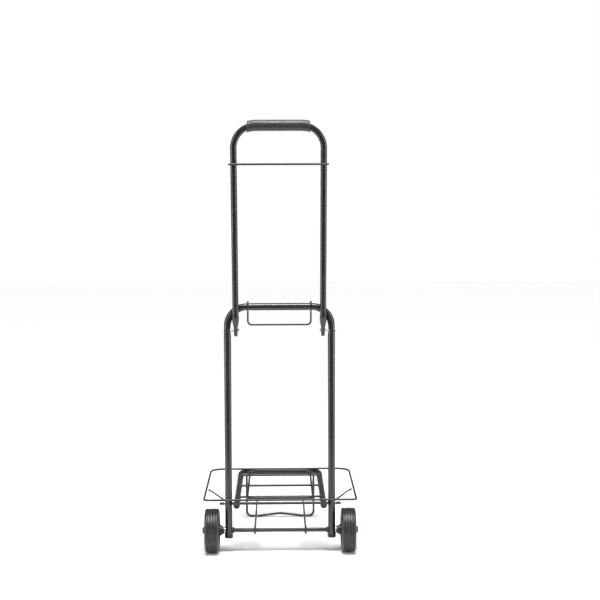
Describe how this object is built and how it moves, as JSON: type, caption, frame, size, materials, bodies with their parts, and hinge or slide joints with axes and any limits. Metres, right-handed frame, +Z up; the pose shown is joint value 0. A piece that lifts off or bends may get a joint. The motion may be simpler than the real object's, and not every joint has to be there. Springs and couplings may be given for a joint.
{
  "type": "folding luggage cart",
  "caption": "Folding two-wheeled luggage cart: arched black tube frame, hoop handle that folds back, wire deck that folds up on stays, rubber-tyred wheels.",
  "frame": {"origin": "on the floor, under the middle of the cart's box: halfway between the wheels, 115.9 mm in front of the upright frame's plane", "axes": "+X to the right of the user who stands behind the handle, +Y forward under the load, +Z up"},
  "size_m": [0.3226, 0.4232, 0.8839],
  "materials": {
    "coated_tube": "black powder coat, semi-gloss",
    "coated_wire": "black powder-coated wire, satin",
    "zinc": "bright zinc plate",
    "black_plastic": "moulded black plastic",
    "nylon": "natural nylon",
    "grip_rubber": "dark grey foam rubber",
    "tyre": "black rubber"
  },
  "bodies": {
    "frame": {"lower_frame": "coated_tube", "left_leg_cap": "black_plastic", "right_leg_cap": "black_plastic", "left_cord_hook": "coated_wire", "right_cord_hook": "coated_wire", "axle": "coated_wire", "axle_collars": "black_plastic", "axle_washers": "zinc", "axle_end_caps": "black_plastic", "deck_pivot_rod": "coated_wire", "pivot_rod_clips": "zinc", "left_handle_rivet": "zinc", "right_handle_rivet": "zinc", "left_pivot_spacer": "zinc", "right_pivot_spacer": "zinc"},
    "handle": {"handle_hoop": "coated_tube", "handle_grip": "grip_rubber", "grip_rings": "grip_rubber", "handle_cross_rod": "coated_wire"},
    "bail": {"latch_bail": "coated_wire"},
    "deck": {"deck_tube": "coated_tube", "left_deck_cap": "black_plastic", "right_deck_cap": "black_plastic", "outer_loop": "coated_wire", "inner_loop": "coated_wire", "deck_cross_wires": "coated_wire"},
    "foot": {"foot_wire": "coated_wire", "foot_cross_wire": "coated_wire", "foot_push_nuts": "zinc"},
    "left_stay_arm": {"left_stay": "coated_wire"},
    "right_stay_arm": {"right_stay": "coated_wire"},
    "left_wheel": {"left_tyre": "tyre", "left_rim": "black_plastic", "left_bushing": "nylon"},
    "right_wheel": {"right_tyre": "tyre", "right_rim": "black_plastic", "right_bushing": "nylon"}
  },
  "joints": [
    {"name": "deck_fold", "type": "hinge", "parent": "frame", "child": "deck", "pos_m": [0, -0.1154, 0.1011], "axis": [1, 0, 0], "range_deg": [0, 84]},
    {"name": "foot_swing", "type": "hinge", "parent": "deck", "child": "foot", "pos_m": [0, 0.1761, 0.1011], "axis": [1, 0, 0], "range_deg": [-84, 0]},
    {"name": "left_stay_swing", "type": "hinge", "parent": "frame", "child": "left_stay_arm", "pos_m": [-0.0525, -0.1154, 0.045], "axis": [1, 0, 0], "range_deg": [0, 84]},
    {"name": "right_stay_swing", "type": "hinge", "parent": "frame", "child": "right_stay_arm", "pos_m": [0.0525, -0.1154, 0.045], "axis": [1, 0, 0], "range_deg": [0, 84]},
    {"name": "handle_fold", "type": "hinge", "parent": "frame", "child": "handle", "pos_m": [0, -0.1154, 0.4603], "axis": [1, 0, 0], "range_deg": [0, 162]},
    {"name": "bail_swing", "type": "hinge", "parent": "frame", "child": "bail", "pos_m": [0, -0.1154, 0.509], "axis": [1, 0, 0], "range_deg": [-80, 80]},
    {"name": "left_wheel_spin", "type": "hinge", "parent": "frame", "child": "left_wheel", "pos_m": [-0.141, -0.1154, 0.045], "axis": [1, 0, 0], "continuous": true},
    {"name": "right_wheel_spin", "type": "hinge", "parent": "frame", "child": "right_wheel", "pos_m": [0.141, -0.1154, 0.045], "axis": [1, 0, 0], "continuous": true}
  ],
  "couplings": [
    {"joint": "foot_swing", "follows": "deck_fold", "ratio": -1},
    {"joint": "left_stay_swing", "follows": "deck_fold", "ratio": 1},
    {"joint": "right_stay_swing", "follows": "deck_fold", "ratio": 1}
  ]
}
